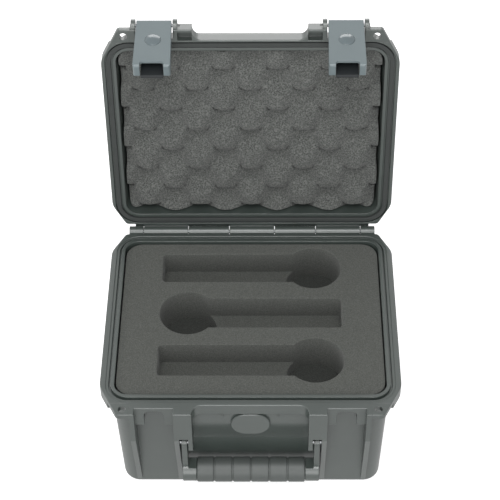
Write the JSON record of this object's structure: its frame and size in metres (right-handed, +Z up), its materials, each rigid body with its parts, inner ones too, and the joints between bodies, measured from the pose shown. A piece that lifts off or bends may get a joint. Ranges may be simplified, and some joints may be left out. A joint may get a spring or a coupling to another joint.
{
  "type": "microphone case",
  "caption": "Hard plastic case with a hinged lid, two latches, a fold-down handle and cut foam for handheld microphones, standing open.",
  "frame": {"origin": "on the case's underside, straight below the point midway across the rim and midway between the rim's back edge and the front edge of its tabs", "axes": "+X to the right seen from the latch side, +Y to the hinge side, +Z up; the lid stands open at rest"},
  "size_m": [0.273, 0.2955, 0.3672],
  "materials": {
    "shell": "satin",
    "latch_plastic": "satin",
    "seal_rubber": "matte",
    "grip_rubber": "matte",
    "steel": "satin",
    "cut_foam": "matte",
    "egg_crate_foam": "matte",
    "membrane": "matte"
  },
  "bodies": {
    "base": {"base_shell": "shell", "base_tab_left": "shell", "base_tab_right": "shell", "hinge_pin": "steel", "mic_foam": "cut_foam", "well_foam": "cut_foam", "middle_foam": "cut_foam", "bottom_foam": "cut_foam", "handle_pin_left": "steel", "handle_pin_right": "steel", "valve_cover": "shell", "valve_body": "latch_plastic", "valve_membrane": "membrane", "valve_seal": "seal_rubber"},
    "lid": {"lid_shell": "shell", "lid_tab_left": "shell", "lid_tab_right": "shell", "lid_gasket": "seal_rubber", "lid_foam": "egg_crate_foam"},
    "handle": {"handle_frame": "shell", "handle_grip": "grip_rubber"},
    "latch_pin_left": {"latch_pin_left": "steel"},
    "latch_left": {"latch_lever_left": "latch_plastic", "latch_plug_left": "latch_plastic", "trigger_pin_left": "steel", "trigger_spring_left": "steel"},
    "trigger_left": {"latch_trigger_left": "latch_plastic"},
    "latch_pin_right": {"latch_pin_right": "steel"},
    "latch_right": {"latch_lever_right": "latch_plastic", "latch_plug_right": "latch_plastic", "trigger_pin_right": "steel", "trigger_spring_right": "steel"},
    "trigger_right": {"latch_trigger_right": "latch_plastic"}
  },
  "joints": [
    {"name": "lid_hinge", "type": "hinge", "parent": "base", "child": "lid", "pos_m": [0, 0.1194, 0.131], "axis": [1, 0, 0], "range_deg": [0, 95.6]},
    {"name": "handle_swing", "type": "hinge", "parent": "base", "child": "handle", "pos_m": [0, -0.1045, 0.0845], "axis": [1, 0, 0], "range_deg": [-95, 0]},
    {"name": "latch_pin_turn_left", "type": "hinge", "parent": "lid", "child": "latch_pin_left", "pos_m": [-0.0865, 0.15303, 0.36122], "axis": [1, 0, 0], "range_deg": [-36, 0]},
    {"name": "latch_swing_left", "type": "hinge", "parent": "latch_pin_left", "child": "latch_left", "pos_m": [-0.0865, 0.15303, 0.36122], "axis": [1, 0, 0], "range_deg": [-80, 25]},
    {"name": "trigger_press_left", "type": "hinge", "parent": "latch_left", "child": "trigger_left", "pos_m": [-0.0865, 0.13523, 0.35815], "axis": [1, 0, 0], "range_deg": [-12, 0], "stiffness_Nm_per_rad": 0.02, "springref_deg": 20.05},
    {"name": "latch_pin_turn_right", "type": "hinge", "parent": "lid", "child": "latch_pin_right", "pos_m": [0.0865, 0.15303, 0.36122], "axis": [1, 0, 0], "range_deg": [-36, 0]},
    {"name": "latch_swing_right", "type": "hinge", "parent": "latch_pin_right", "child": "latch_right", "pos_m": [0.0865, 0.15303, 0.36122], "axis": [1, 0, 0], "range_deg": [-80, 25]},
    {"name": "trigger_press_right", "type": "hinge", "parent": "latch_right", "child": "trigger_right", "pos_m": [0.0865, 0.13523, 0.35815], "axis": [1, 0, 0], "range_deg": [-12, 0], "stiffness_Nm_per_rad": 0.02, "springref_deg": 20.05}
  ],
  "couplings": [
    {"joint": "latch_pin_turn_left", "follows": "lid_hinge", "ratio": -0.37239},
    {"joint": "latch_pin_turn_right", "follows": "lid_hinge", "ratio": -0.37239}
  ]
}
